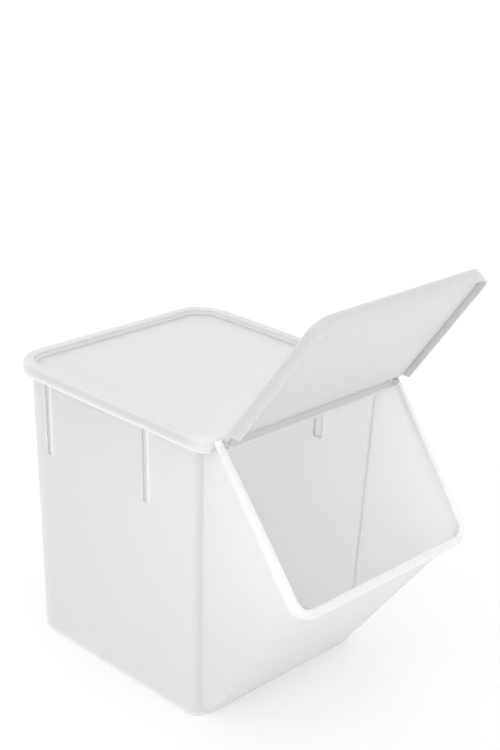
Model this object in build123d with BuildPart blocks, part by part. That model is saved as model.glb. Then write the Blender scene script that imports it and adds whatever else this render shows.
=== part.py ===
"""Front-access storage bin: a drafted tub with a forward beak, a lift-off lid and a hinged front flap.

Millimetres. X is the width, the beak points along -Y, Z is up. The origin is on the floor, midway
across the width and midway along the fore-and-aft length of the flat base.
"""
import os
from math import cos, radians, sin, tan

from build123d import *

os.makedirs("parts", exist_ok=True)

# ---------------------------------------------------------------- driving dimensions, container
WALL = 3.0
TUB_TOP = 413.0
BASE_HALF_WIDTH = 163.0
SIDE_DRAFT = 0.0325
BASE_BACK = 178.0
BACK_DRAFT = 0.014
BASE_POST = 174.0
POST_DRAFT = 0.0255
BACK_CORNER_RADIUS = 43.0
POST_CORNER_RADIUS = 14.0
CREASE_RADIUS = 4.5
INNER_CREASE_RADIUS = 2.0
BASE_EDGE_RADIUS = 2.5
STEEP = 0.9
CREASE_REACH = 0.5
POST_REACH = 15.0

BEAK_HALF_WIDTH = 153.5
BEAK_DRAFT = 0.0375
BEAK_BASE_FRONT = 178.0
BEAK_WALL_SLOPE = 53.4
BEAK_EDGE_RADIUS = 20.0
BEAK_EDGE_RISE = 0.6
BEAK_EDGE_RUN = 0.4
BEAK_REACH = 300.0
VOLUME_TOP = 440.0
FLOOR = 3.5

# ---------------------------------------------------------------- mouth: plane through the arms
MOUTH_TOP_Y = -215.8
MOUTH_TOP_Z = 425.64
MOUTH_SLOPE = 52.7
MOUTH_LENGTH = 243.0
RIM_HALF_WIDTH = 175.0
RIM_CORNER_RADIUS = 34.0
RIM_DEPTH = 8.0
RIM_BEAD = 3.0
RIM_EDGE_RADIUS = 4.5
RIM_INNER_RADIUS = 2.4
ARM_END_RADIUS = 4.0
BELOW_LIP = 60.0
BELOW_FLOOR = 1.0
TOP_FLANGE = 5.8

# ---------------------------------------------------------------- grooves down the sides
GROOVE_WIDTH = 11.6
GROOVE_DEPTH = 4.0
GROOVE_CHEEK = 2.0
GROOVE_BOTTOM = 292.0
GROOVE_PLACES = (-77.8, 124.3)

# ---------------------------------------------------------------- hinge
HINGE_Y = -218.2
HINGE_Z = 421.9
LUG_RADIUS = 4.6
LUG_SHEET = 2.6
LUG_GAP = 0.4
PIN_RADIUS = 2.5
PIN_CLEARANCE = 0.06
PIN_HEAD_RADIUS = 3.4
PIN_HEAD_THICKNESS = 1.3
PIN_SETBACK = 0.2

# ---------------------------------------------------------------- lid
LID_HALF_WIDTH = 188.0
LID_BACK = 195.5
LID_FRONT = -208.0
LID_TOP = 425.0
LID_SKIRT = 17.0
LID_SHEET = 2.8
LID_EDGE_RADIUS = 4.0
ARM_CLEARANCE = 1.6
LID_BACK_RADIUS = 54.0
LID_FRONT_RADIUS = 28.0
LID_RIM_WIDTH = 14.0
LID_STEP_WIDTH = 4.0
LID_STEP_DROP = 4.5
LID_PANEL_DROP = 9.0
LID_STEP_RADIUS = 1.8
LID_FRONT_CUT = 8.4
LEDGE_TOP = 418.3
LEDGE_SHEET = 2.5

# ---------------------------------------------------------------- flap
FLAP_OPEN = 54.6
FLAP_LENGTH = 238.0
FLAP_TAIL = 2.5
FLAP_ROOT_HALF_WIDTH = 165.6
FLAP_TIP_HALF_WIDTH = 158.5
FLAP_TIP_RADIUS = 25.0
FLAP_SHEET = 2.5
FLAP_TOP_OFFSET = 8.5
FLAP_SKIRT = 20.0
FLAP_EDGE_RADIUS = 2.0
FLAP_INNER_RADIUS = 1.8
FLAP_BORDER = 10.0
FLAP_PANEL_START = 22.0
FLAP_PANEL_DROP = 10.0
FLAP_PANEL_RADIUS = 1.5
EAR_DEPTH = 8.2
EAR_RADIUS = 5.0
EAR_BORE_DEPTH = 7.5
SKIRT_CUT_Z = 434.0

WIDE = 500.0
ON_PLANE = 0.01


def half_width(z):
    return BASE_HALF_WIDTH + SIDE_DRAFT * z


def beak_half_width(z):
    return BEAK_HALF_WIDTH + BEAK_DRAFT * z


def mouth_point(run):
    """Point (y, z) on the mouth plane, a distance down the slope from the top of the arms."""
    slope = radians(MOUTH_SLOPE)
    return (MOUTH_TOP_Y - run * cos(slope), MOUTH_TOP_Z - run * sin(slope))


def drafted_prism(side_outline, base_half, draft, low, high):
    """Solid with a given side outline (y, z), whose two sides lean outwards by the draft."""
    with BuildPart() as prism:
        with BuildSketch(Plane.YZ):
            with BuildLine():
                Polyline(*side_outline, close=True)
            make_face()
        extrude(amount=WIDE, both=True)
        with BuildSketch(Plane.XZ):
            with BuildLine():
                Polyline(
                    (-base_half - draft * low, low),
                    (base_half + draft * low, low),
                    (base_half + draft * high, high),
                    (-base_half - draft * high, high),
                    close=True,
                )
            make_face()
        extrude(amount=WIDE, both=True, mode=Mode.INTERSECT)
    return prism.part


def side_band(place, width, depth, bottom):
    """Upright bands on both sides of the tub, from a depth inside its outer face outwards."""
    core = drafted_prism(
        [(place - width, bottom), (place + width, bottom), (place + width, TUB_TOP), (place - width, TUB_TOP)],
        BASE_HALF_WIDTH - depth, SIDE_DRAFT, bottom, TUB_TOP,
    )
    with BuildPart() as band:
        with BuildSketch(Plane.XY.offset(bottom)):
            with Locations((0, place)):
                Rectangle(WIDE, width)
        extrude(amount=TUB_TOP - WALL - bottom)
        add(core, mode=Mode.SUBTRACT)
    return band.part


def tub_volume(inset, floor, top, crease_radius):
    """Body and beak as one solid, shrunk by the inset, between two heights."""
    back_low = BASE_BACK + BACK_DRAFT * floor - inset
    back_high = BASE_BACK + BACK_DRAFT * top - inset
    post_low = -BASE_POST - POST_DRAFT * floor + inset
    post_high = -BASE_POST - POST_DRAFT * top + inset
    slope = radians(BEAK_WALL_SLOPE)
    front_low = -BEAK_BASE_FRONT + inset / sin(slope) - floor / tan(slope)
    front_high = front_low - (BEAK_REACH - floor) / tan(slope)

    body = drafted_prism(
        [(post_low, floor), (back_low, floor), (back_high, top), (post_high, top)],
        BASE_HALF_WIDTH - inset, SIDE_DRAFT, floor, top,
    )
    beak = drafted_prism(
        [(0.0, floor), (front_low, floor), (front_high, BEAK_REACH), (front_high, top), (0.0, top)],
        BEAK_HALF_WIDTH - inset, BEAK_DRAFT, floor, top,
    )
    with BuildPart() as volume:
        add(body)
        upright = volume.edges().filter_by(lambda e: abs(e.tangent_at(0.5).Z) > STEEP)
        fillet(upright.group_by(Axis.Y)[-1], BACK_CORNER_RADIUS - inset)
        upright = volume.edges().filter_by(lambda e: abs(e.tangent_at(0.5).Z) > STEEP)
        fillet(upright.group_by(Axis.Y)[0], POST_CORNER_RADIUS - inset)
    with BuildPart() as nose:
        add(beak)
        leaning = nose.edges().filter_by(
            lambda e: abs(e.tangent_at(0.5).Z) > BEAK_EDGE_RISE and abs(e.tangent_at(0.5).Y) > BEAK_EDGE_RUN
        )
        fillet(leaning, BEAK_EDGE_RADIUS - inset)
    with BuildPart() as whole:
        add(volume.part)
        add(nose.part)
        creases = whole.edges().filter_by(
            lambda e: abs(e.tangent_at(0.5).Z) > STEEP
            and abs(abs(e.center().X) - beak_half_width(e.center().Z) + inset) < CREASE_REACH
            and abs(e.center().Y + BASE_POST) < POST_REACH
        )
        fillet(creases, crease_radius)
    return whole.part


def outline_sketch(half_width_value, front, back, front_radius, back_radius):
    """Rectangle in plan with its own corner radii at the front and the back."""
    with BuildSketch() as outline:
        with BuildLine():
            Polyline(
                (-half_width_value, front),
                (half_width_value, front),
                (half_width_value, back),
                (-half_width_value, back),
                close=True,
            )
        make_face()
        fillet(outline.vertices().group_by(Axis.Y)[-1], back_radius)
        fillet(outline.vertices().group_by(Axis.Y)[0], front_radius)
    return outline.sketch


# ================================================================ container
outer_volume = tub_volume(0.0, 0.0, VOLUME_TOP, CREASE_RADIUS)
inner_volume = tub_volume(WALL, FLOOR, VOLUME_TOP, INNER_CREASE_RADIUS)

grooves = [side_band(place, GROOVE_WIDTH, GROOVE_DEPTH, GROOVE_BOTTOM) for place in GROOVE_PLACES]
ridges = [
    side_band(place, GROOVE_WIDTH + 2 * GROOVE_CHEEK, WALL + GROOVE_DEPTH, GROOVE_BOTTOM - GROOVE_CHEEK)
    for place in GROOVE_PLACES
]
with BuildPart() as hollow:
    add(inner_volume)
    for ridge in ridges:
        add(ridge, mode=Mode.SUBTRACT)

mouth_plane = Plane(
    origin=(0, MOUTH_TOP_Y, MOUTH_TOP_Z),
    x_dir=(1, 0, 0),
    z_dir=(0, -sin(radians(MOUTH_SLOPE)), cos(radians(MOUTH_SLOPE))),
)
lip_y, lip_z = mouth_point(MOUTH_LENGTH + BELOW_LIP)
arm_end_y = MOUTH_TOP_Y + ARM_END_RADIUS * sin(radians(MOUTH_SLOPE))
arm_end_z = MOUTH_TOP_Z - ARM_END_RADIUS * cos(radians(MOUTH_SLOPE))

with BuildPart() as keep_region:
    with BuildSketch(Plane.YZ):
        with BuildLine():
            Polyline(
                (WIDE, -BELOW_FLOOR),
                (WIDE, TUB_TOP),
                (arm_end_y + ARM_END_RADIUS, TUB_TOP),
                (arm_end_y + ARM_END_RADIUS, arm_end_z),
                (MOUTH_TOP_Y, MOUTH_TOP_Z),
                (lip_y, lip_z),
                (lip_y, -BELOW_FLOOR),
                close=True,
            )
        make_face()
    extrude(amount=WIDE, both=True)

with BuildPart() as mouth_rim:
    with BuildSketch(mouth_plane) as rim_outline:
        with BuildLine():
            Polyline(
                (-RIM_HALF_WIDTH, 0),
                (-RIM_HALF_WIDTH, -MOUTH_LENGTH),
                (RIM_HALF_WIDTH, -MOUTH_LENGTH),
                (RIM_HALF_WIDTH, 0),
                close=True,
            )
        make_face()
        fillet(rim_outline.vertices().group_by(Axis.Y)[0], RIM_CORNER_RADIUS)
    extrude(amount=-RIM_DEPTH)
    rim_top = mouth_rim.faces().sort_by(Axis((0, 0, 0), tuple(mouth_plane.z_dir)))[-1]
    fillet(rim_top.edges().sort_by(Axis.Z)[:-1], RIM_EDGE_RADIUS)
    with BuildSketch(mouth_plane.offset(-WALL)) as rim_inside:
        with BuildLine():
            Polyline(
                (-RIM_HALF_WIDTH + RIM_BEAD, RIM_BEAD),
                (-RIM_HALF_WIDTH + RIM_BEAD, -MOUTH_LENGTH + RIM_BEAD),
                (RIM_HALF_WIDTH - RIM_BEAD, -MOUTH_LENGTH + RIM_BEAD),
                (RIM_HALF_WIDTH - RIM_BEAD, RIM_BEAD),
                close=True,
            )
        make_face()
        fillet(rim_inside.vertices().group_by(Axis.Y)[0], RIM_CORNER_RADIUS - RIM_BEAD)
    extrude(amount=-RIM_DEPTH, mode=Mode.SUBTRACT)

with BuildPart() as container:
    add(outer_volume)
    add(keep_region.part, mode=Mode.INTERSECT)
    with BuildSketch(Plane.XY.offset(TUB_TOP - WALL)):
        add(
            outline_sketch(
                half_width(TUB_TOP) + TOP_FLANGE,
                -BASE_POST - POST_DRAFT * TUB_TOP - TOP_FLANGE,
                BASE_BACK + BACK_DRAFT * TUB_TOP + TOP_FLANGE,
                POST_CORNER_RADIUS + TOP_FLANGE,
                BACK_CORNER_RADIUS + TOP_FLANGE,
            )
        )
    extrude(amount=WALL)
    add(mouth_rim.part)
    with BuildSketch(Plane.YZ):
        with Locations((arm_end_y, arm_end_z)):
            Circle(ARM_END_RADIUS)
    extrude(amount=RIM_HALF_WIDTH, both=True)
    add(hollow.part, mode=Mode.SUBTRACT)
    opening_reach = RIM_HALF_WIDTH - RIM_EDGE_RADIUS - RIM_INNER_RADIUS
    mouth_edges = container.edges().filter_by(
        lambda e: abs(mouth_plane.to_local_coords(e.position_at(0)).Z) < ON_PLANE
        and abs(mouth_plane.to_local_coords(e.position_at(1)).Z) < ON_PLANE
        and abs(mouth_plane.to_local_coords(e.center()).Y) < MOUTH_LENGTH - RIM_EDGE_RADIUS
        and abs(e.position_at(0).X) < opening_reach
        and abs(e.position_at(1).X) < opening_reach
        and e.length > BEAK_EDGE_RADIUS
    )
    fillet(mouth_edges, RIM_INNER_RADIUS)
    base_edges = container.edges().filter_by(
        lambda e: abs(e.position_at(0).Z) < ON_PLANE and abs(e.position_at(1).Z) < ON_PLANE
    )
    fillet(base_edges, BASE_EDGE_RADIUS)
    for groove in grooves:
        add(groove, mode=Mode.SUBTRACT)
container.part.label = "container"
export_step(container.part, "parts/container.step")

# ================================================================ top lid
def lid_outline(inset):
    return outline_sketch(
        LID_HALF_WIDTH - inset,
        LID_FRONT + inset,
        LID_BACK - inset,
        LID_FRONT_RADIUS - inset,
        LID_BACK_RADIUS - inset,
    )


lid_bottom = LID_TOP - LID_SKIRT
panel_under = LID_TOP - LID_PANEL_DROP - LID_SHEET
step_under = LID_TOP - LID_STEP_DROP - LID_SHEET
rim_under = LID_TOP - LID_SHEET
lip_bottom = LEDGE_TOP - LEDGE_SHEET
ear_inside = FLAP_ROOT_HALF_WIDTH - FLAP_SHEET
lug_outside = ear_inside - LUG_GAP
lug_inside = lug_outside - LUG_SHEET

with BuildPart() as top_lid:
    with BuildSketch(Plane.XY.offset(lid_bottom)):
        add(lid_outline(0.0))
    extrude(amount=LID_SKIRT)
    fillet(top_lid.faces().sort_by(Axis.Z)[-1].edges(), LID_EDGE_RADIUS)
    with BuildSketch(Plane.XY.offset(LID_TOP - LID_STEP_DROP)):
        add(lid_outline(LID_RIM_WIDTH))
    extrude(amount=LID_STEP_DROP, mode=Mode.SUBTRACT)
    with BuildSketch(Plane.XY.offset(LID_TOP - LID_PANEL_DROP)):
        add(lid_outline(LID_RIM_WIDTH + LID_STEP_WIDTH))
    extrude(amount=LID_PANEL_DROP, mode=Mode.SUBTRACT)
    step_heights = (LID_TOP, LID_TOP - LID_STEP_DROP)
    step_edges = top_lid.edges().filter_by(
        lambda e: min(abs(e.center().Z - height) for height in step_heights) < ON_PLANE
        and abs(e.tangent_at(0.5).Z) < ON_PLANE
        and abs(e.center().X) < LID_HALF_WIDTH - LID_EDGE_RADIUS - LID_STEP_RADIUS
        and LID_FRONT + LID_EDGE_RADIUS + LID_STEP_RADIUS < e.center().Y
        and e.center().Y < LID_BACK - LID_EDGE_RADIUS - LID_STEP_RADIUS
    )
    fillet(step_edges, LID_STEP_RADIUS)
    with BuildSketch(Plane.XY.offset(lid_bottom)):
        add(lid_outline(LID_SHEET))
    extrude(amount=panel_under - lid_bottom, mode=Mode.SUBTRACT)
    with BuildSketch(Plane.XY.offset(panel_under)):
        add(lid_outline(LID_SHEET))
        add(lid_outline(LID_RIM_WIDTH + LID_STEP_WIDTH - LID_SHEET), mode=Mode.SUBTRACT)
    extrude(amount=step_under - panel_under, mode=Mode.SUBTRACT)
    with BuildSketch(Plane.XY.offset(step_under)):
        add(lid_outline(LID_SHEET))
        add(lid_outline(LID_RIM_WIDTH - LID_SHEET), mode=Mode.SUBTRACT)
    extrude(amount=rim_under - step_under, mode=Mode.SUBTRACT)
    arm_gap = RIM_HALF_WIDTH + ARM_CLEARANCE
    with BuildSketch(Plane.XY.offset(lid_bottom)):
        with Locations((0, LID_FRONT)):
            Rectangle(2 * arm_gap, 2 * LID_SKIRT)
    extrude(amount=panel_under - lid_bottom, mode=Mode.SUBTRACT)
    with BuildSketch(Plane.XY.offset(panel_under)):
        with Locations((0, LID_FRONT)):
            Rectangle(2 * arm_gap, LID_FRONT_CUT)
    extrude(amount=lip_bottom - panel_under, mode=Mode.SUBTRACT)
    with BuildSketch(Plane.XY.offset(lip_bottom)):
        with Locations((0, (LID_FRONT + LID_SHEET + HINGE_Y - LUG_RADIUS) / 2)):
            Rectangle(2 * lug_outside, LID_FRONT + LID_SHEET - HINGE_Y + LUG_RADIUS)
    extrude(amount=LEDGE_SHEET)
    for side in (-1, 1):
        with BuildSketch(Plane.YZ.offset(side * lug_outside)):
            with Locations((HINGE_Y, HINGE_Z)):
                Circle(LUG_RADIUS)
            with Locations((HINGE_Y, (lip_bottom + HINGE_Z) / 2)):
                Rectangle(2 * LUG_RADIUS, HINGE_Z - lip_bottom)
            with Locations((HINGE_Y, HINGE_Z)):
                Circle(PIN_RADIUS, mode=Mode.SUBTRACT)
        extrude(amount=-side * LUG_SHEET)
top_lid.part.label = "top_lid"
export_step(top_lid.part, "parts/top_lid.step")

# ================================================================ front flap, in its open pose
open_angle = radians(FLAP_OPEN)
flap_plane = Plane(
    origin=(
        0,
        HINGE_Y + FLAP_TOP_OFFSET * sin(open_angle),
        HINGE_Z + FLAP_TOP_OFFSET * cos(open_angle),
    ),
    x_dir=(1, 0, 0),
    z_dir=(0, -sin(open_angle), -cos(open_angle)),
)


def flap_point(along, depth):
    """Point (y, z) at a distance along the flap from the hinge and a depth below its outer face."""
    y = flap_plane.origin.Y - along * cos(open_angle) - depth * sin(open_angle)
    z = flap_plane.origin.Z + along * sin(open_angle) - depth * cos(open_angle)
    return (y, z)


def flap_along(depth, height):
    """Distance along the flap at which a given depth stands at a given height."""
    return (height - flap_plane.origin.Z + depth * cos(open_angle)) / sin(open_angle)


def flap_outline(inset, tail):
    """Tapered outline in the flap plane, with rounded tip corners."""
    taper = (FLAP_ROOT_HALF_WIDTH - FLAP_TIP_HALF_WIDTH) / FLAP_LENGTH
    with BuildSketch() as outline:
        with BuildLine():
            Polyline(
                (-FLAP_ROOT_HALF_WIDTH - taper * tail + inset, -tail),
                (FLAP_ROOT_HALF_WIDTH + taper * tail - inset, -tail),
                (FLAP_TIP_HALF_WIDTH + taper * inset - inset, FLAP_LENGTH - inset),
                (-FLAP_TIP_HALF_WIDTH - taper * inset + inset, FLAP_LENGTH - inset),
                close=True,
            )
        make_face()
        fillet(outline.vertices().group_by(Axis.Y)[-1], FLAP_TIP_RADIUS - inset)
    return outline.sketch


with BuildPart() as front_flap:
    with BuildSketch(flap_plane):
        add(flap_outline(0.0, FLAP_TAIL))
    extrude(amount=FLAP_SKIRT)
    outer_face = front_flap.faces().sort_by(Axis((0, 0, 0), (0, sin(open_angle), cos(open_angle))))[-1]
    fillet(outer_face.edges(), FLAP_EDGE_RADIUS)
    with BuildSketch(flap_plane.offset(FLAP_SHEET)):
        add(flap_outline(FLAP_SHEET, FLAP_TAIL + FLAP_SHEET))
    extrude(amount=FLAP_SKIRT, mode=Mode.SUBTRACT)
    under_face = flap_plane.offset(FLAP_SHEET)
    under_edges = front_flap.edges().filter_by(
        lambda e: abs(under_face.to_local_coords(e.position_at(0)).Z) < ON_PLANE
        and abs(under_face.to_local_coords(e.position_at(1)).Z) < ON_PLANE
        and under_face.to_local_coords(e.center()).Y > 0.0
    )
    fillet(under_edges, FLAP_INNER_RADIUS)
    with BuildSketch(under_face):
        add(flap_outline(FLAP_BORDER - FLAP_SHEET, FLAP_SHEET - FLAP_PANEL_START))
    extrude(amount=FLAP_PANEL_DROP)
    panel_face = flap_plane.offset(FLAP_SHEET + FLAP_PANEL_DROP)
    panel_edges = front_flap.edges().filter_by(
        lambda e: abs(panel_face.to_local_coords(e.position_at(0)).Z) < ON_PLANE
        and abs(panel_face.to_local_coords(e.position_at(1)).Z) < ON_PLANE
    )
    fillet(panel_edges, FLAP_PANEL_RADIUS)
    with BuildSketch(flap_plane):
        add(flap_outline(FLAP_BORDER, -FLAP_PANEL_START))
    extrude(amount=FLAP_PANEL_DROP, mode=Mode.SUBTRACT)
    with BuildSketch(Plane.YZ):
        with BuildLine():
            Polyline(
                flap_point(-FLAP_SKIRT, EAR_DEPTH),
                flap_point(flap_along(EAR_DEPTH, SKIRT_CUT_Z), EAR_DEPTH),
                flap_point(flap_along(FLAP_SKIRT, SKIRT_CUT_Z), FLAP_SKIRT),
                flap_point(flap_along(FLAP_SKIRT, SKIRT_CUT_Z), 2 * FLAP_SKIRT),
                flap_point(-FLAP_SKIRT, 2 * FLAP_SKIRT),
                close=True,
            )
        make_face()
    extrude(amount=WIDE, both=True, mode=Mode.SUBTRACT)
    for side in (-1, 1):
        with BuildSketch(Plane.YZ.offset(side * FLAP_ROOT_HALF_WIDTH)):
            with Locations((HINGE_Y, HINGE_Z)):
                Circle(EAR_RADIUS)
        extrude(amount=-side * FLAP_SHEET)
    for side in (-1, 1):
        with BuildSketch(Plane.YZ.offset(side * (FLAP_ROOT_HALF_WIDTH + FLAP_SHEET))):
            with Locations((HINGE_Y, HINGE_Z)):
                Circle(PIN_RADIUS + PIN_CLEARANCE)
        extrude(amount=-side * EAR_BORE_DEPTH, mode=Mode.SUBTRACT)
front_flap.part.label = "front_flap"
export_step(front_flap.part, "parts/front_flap.step")

# ================================================================ hinge pins
for name, side in (("left_hinge_pin", -1), ("right_hinge_pin", 1)):
    with BuildPart() as hinge_pin:
        with BuildSketch(Plane.YZ.offset(side * lug_inside)):
            with Locations((HINGE_Y, HINGE_Z)):
                Circle(PIN_RADIUS)
        extrude(amount=side * (FLAP_ROOT_HALF_WIDTH - PIN_SETBACK - lug_inside))
        with BuildSketch(Plane.YZ.offset(side * lug_inside)):
            with Locations((HINGE_Y, HINGE_Z)):
                Circle(PIN_HEAD_RADIUS)
        extrude(amount=-side * PIN_HEAD_THICKNESS)
    hinge_pin.part.label = name
    export_step(hinge_pin.part, "parts/" + name + ".step")
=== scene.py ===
"""White moulded storage bin with a lift-off lid and a front flap: materials, camera, light and floor."""
from math import cos, radians, sin

import bpy
from mathutils import Matrix, Vector

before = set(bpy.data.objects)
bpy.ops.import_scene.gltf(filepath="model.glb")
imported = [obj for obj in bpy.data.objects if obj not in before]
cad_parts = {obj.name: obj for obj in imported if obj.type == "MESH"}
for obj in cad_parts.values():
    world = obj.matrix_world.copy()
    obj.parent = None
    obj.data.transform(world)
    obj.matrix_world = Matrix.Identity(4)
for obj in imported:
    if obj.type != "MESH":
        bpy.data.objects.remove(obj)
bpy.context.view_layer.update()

# ---------------------------------------------------------------- camera
CAMERA_YAW = radians(-46.003)
CAMERA_PITCH = radians(21.339)
CAMERA_ROLL = radians(1.954)
CAMERA_PLACE = Vector((-1.3437, -1.3934, 1.1655))
CAMERA_LENS = 71.01
CAMERA_SENSOR = 36.0

# ---------------------------------------------------------------- floor and light
FLOOR_SIZE = 40.0
FLOOR_COLOR = (0.90, 0.90, 0.90, 1.0)
FLOOR_ROUGHNESS = 0.9
SKY_COLOR = (1.0, 1.0, 1.0, 1.0)
SKY_STRENGTH = 1.11
KEY_AIM = (0.55, 0.35, -1.0)
KEY_POWER = 0.05
SUN_SOFTNESS = radians(70.0)
SIDE_AIM = (1.0, 0.15, -0.25)
SIDE_POWER = 0.30
FRONT_AIM = (0.1, 1.0, 0.1)
FRONT_POWER = 0.20
LIGHT_BOUNCES = 12

# ---------------------------------------------------------------- plastic
PLASTIC_IOR = 1.5
SCATTER_RADIUS = (0.03, 0.03, 0.029)
SCATTER_SCALE = 1.0
NOISE_LOW = 0.3
NOISE_HIGH = 0.7
MOTTLE_SCALE = 9.0
MOTTLE_DETAIL = 3.0
MOTTLE_SHADE = (0.985, 0.985, 0.975)
FLOW_SCALE = 28.0
FLOW_DETAIL = 4.0
GLOSS_BELOW = 0.03
GLOSS_ABOVE = 0.04
GRAIN_SCALE = 900.0
GRAIN_DETAIL = 2.0
GRAIN_HEIGHT = 0.0002


def link(tree, source, output, target, socket):
    tree.links.new(source.outputs[output], target.inputs[socket])


def plastic(name, color, roughness, grain_strength, translucency):
    """Satin moulded plastic: faint cloudiness in the colour, uneven gloss, and a fine moulded grain."""
    material = bpy.data.materials.new(name)
    material.use_nodes = True
    tree = material.node_tree
    shader = tree.nodes["Principled BSDF"]
    shader.inputs["IOR"].default_value = PLASTIC_IOR
    shader.inputs["Subsurface Weight"].default_value = translucency
    shader.inputs["Subsurface Radius"].default_value = SCATTER_RADIUS
    shader.inputs["Subsurface Scale"].default_value = SCATTER_SCALE
    place = tree.nodes.new("ShaderNodeTexCoord")

    mottle = tree.nodes.new("ShaderNodeTexNoise")
    mottle.inputs["Scale"].default_value = MOTTLE_SCALE
    mottle.inputs["Detail"].default_value = MOTTLE_DETAIL
    link(tree, place, "Object", mottle, "Vector")
    tint = tree.nodes.new("ShaderNodeValToRGB")
    tint.color_ramp.elements[0].position = NOISE_LOW
    tint.color_ramp.elements[1].position = NOISE_HIGH
    shaded = [channel * shade for channel, shade in zip(color, MOTTLE_SHADE)]
    tint.color_ramp.elements[0].color = (*shaded, 1.0)
    tint.color_ramp.elements[1].color = (*color, 1.0)
    link(tree, mottle, "Fac", tint, "Fac")
    link(tree, tint, "Color", shader, "Base Color")

    flow = tree.nodes.new("ShaderNodeTexNoise")
    flow.inputs["Scale"].default_value = FLOW_SCALE
    flow.inputs["Detail"].default_value = FLOW_DETAIL
    link(tree, place, "Object", flow, "Vector")
    gloss = tree.nodes.new("ShaderNodeMapRange")
    gloss.inputs["From Min"].default_value = NOISE_LOW
    gloss.inputs["From Max"].default_value = NOISE_HIGH
    gloss.inputs["To Min"].default_value = roughness - GLOSS_BELOW
    gloss.inputs["To Max"].default_value = roughness + GLOSS_ABOVE
    link(tree, flow, "Fac", gloss, "Value")
    link(tree, gloss, "Result", shader, "Roughness")

    grain = tree.nodes.new("ShaderNodeTexNoise")
    grain.inputs["Scale"].default_value = GRAIN_SCALE
    grain.inputs["Detail"].default_value = GRAIN_DETAIL
    link(tree, place, "Object", grain, "Vector")
    bump = tree.nodes.new("ShaderNodeBump")
    bump.inputs["Strength"].default_value = grain_strength
    bump.inputs["Distance"].default_value = GRAIN_HEIGHT
    link(tree, grain, "Fac", bump, "Height")
    link(tree, bump, "Normal", shader, "Normal")
    return material


body_plastic = plastic(
    "satin_white_body", color=(0.91, 0.91, 0.905), roughness=0.38, grain_strength=0.12, translucency=0.85
)
lid_plastic = plastic(
    "satin_white_lid", color=(0.86, 0.86, 0.855), roughness=0.36, grain_strength=0.12, translucency=0.75
)
# Same white plastic as the body, with its colour darkened to grey as painted shade for the flap's shaded
# face.
flap_plastic_painted_shade = plastic(
    "white_flap_painted_shade", color=(0.62, 0.62, 0.615), roughness=0.38, grain_strength=0.12, translucency=0.30
)
pin_plastic = plastic(
    "satin_pin", color=(0.84, 0.84, 0.82), roughness=0.45, grain_strength=0.20, translucency=0.2
)

for node, material in (
    ("container", body_plastic),
    ("top_lid", lid_plastic),
    ("front_flap", flap_plastic_painted_shade),
    ("left_hinge_pin", pin_plastic),
    ("right_hinge_pin", pin_plastic),
):
    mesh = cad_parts[node].data
    mesh.materials.clear()
    mesh.materials.append(material)


# ---------------------------------------------------------------- floor
floor_mesh = bpy.data.meshes.new("studio_floor")
half = FLOOR_SIZE / 2
floor_mesh.from_pydata(
    [(-half, -half, 0.0), (half, -half, 0.0), (half, half, 0.0), (-half, half, 0.0)], [], [(0, 1, 2, 3)]
)
floor = bpy.data.objects.new("studio_floor", floor_mesh)
bpy.context.collection.objects.link(floor)
floor_material = bpy.data.materials.new("pale_floor")
floor_material.use_nodes = True
floor_material.node_tree.nodes["Principled BSDF"].inputs["Base Color"].default_value = FLOOR_COLOR
floor_material.node_tree.nodes["Principled BSDF"].inputs["Roughness"].default_value = FLOOR_ROUGHNESS
floor_mesh.materials.append(floor_material)

# ---------------------------------------------------------------- light
world = bpy.data.worlds.new("studio_light")
bpy.context.scene.world = world
world.use_nodes = True
world.node_tree.nodes["Background"].inputs["Color"].default_value = SKY_COLOR
world.node_tree.nodes["Background"].inputs["Strength"].default_value = SKY_STRENGTH


def soft_sun(name, aim, power):
    """Very soft, even light from one side of the studio."""
    lamp = bpy.data.lights.new(name, "SUN")
    lamp.energy = power
    lamp.angle = SUN_SOFTNESS
    holder = bpy.data.objects.new(name, lamp)
    holder.rotation_mode = "QUATERNION"
    holder.rotation_quaternion = Vector(aim).to_track_quat("-Z", "Y")
    bpy.context.collection.objects.link(holder)


soft_sun("key_light", KEY_AIM, KEY_POWER)
soft_sun("side_light", SIDE_AIM, SIDE_POWER)
soft_sun("front_light", FRONT_AIM, FRONT_POWER)
bpy.context.scene.cycles.max_bounces = LIGHT_BOUNCES
bpy.context.scene.cycles.diffuse_bounces = LIGHT_BOUNCES

# ---------------------------------------------------------------- camera
forward = Vector((
    -sin(CAMERA_YAW) * cos(CAMERA_PITCH), cos(CAMERA_YAW) * cos(CAMERA_PITCH), -sin(CAMERA_PITCH)
))
level = Vector((cos(CAMERA_YAW), sin(CAMERA_YAW), 0.0))
upright = level.cross(forward)
camera_x = cos(CAMERA_ROLL) * level + sin(CAMERA_ROLL) * upright
camera_y = -sin(CAMERA_ROLL) * level + cos(CAMERA_ROLL) * upright
turn = Matrix((camera_x, camera_y, -forward)).transposed()
camera_data = bpy.data.cameras.new("camera")
camera_data.lens = CAMERA_LENS
camera_data.sensor_width = CAMERA_SENSOR
camera = bpy.data.objects.new("camera", camera_data)
camera.matrix_world = Matrix.Translation(CAMERA_PLACE) @ turn.to_4x4()
bpy.context.collection.objects.link(camera)
bpy.context.scene.camera = camera
bpy.context.scene.view_settings.view_transform = "Standard"
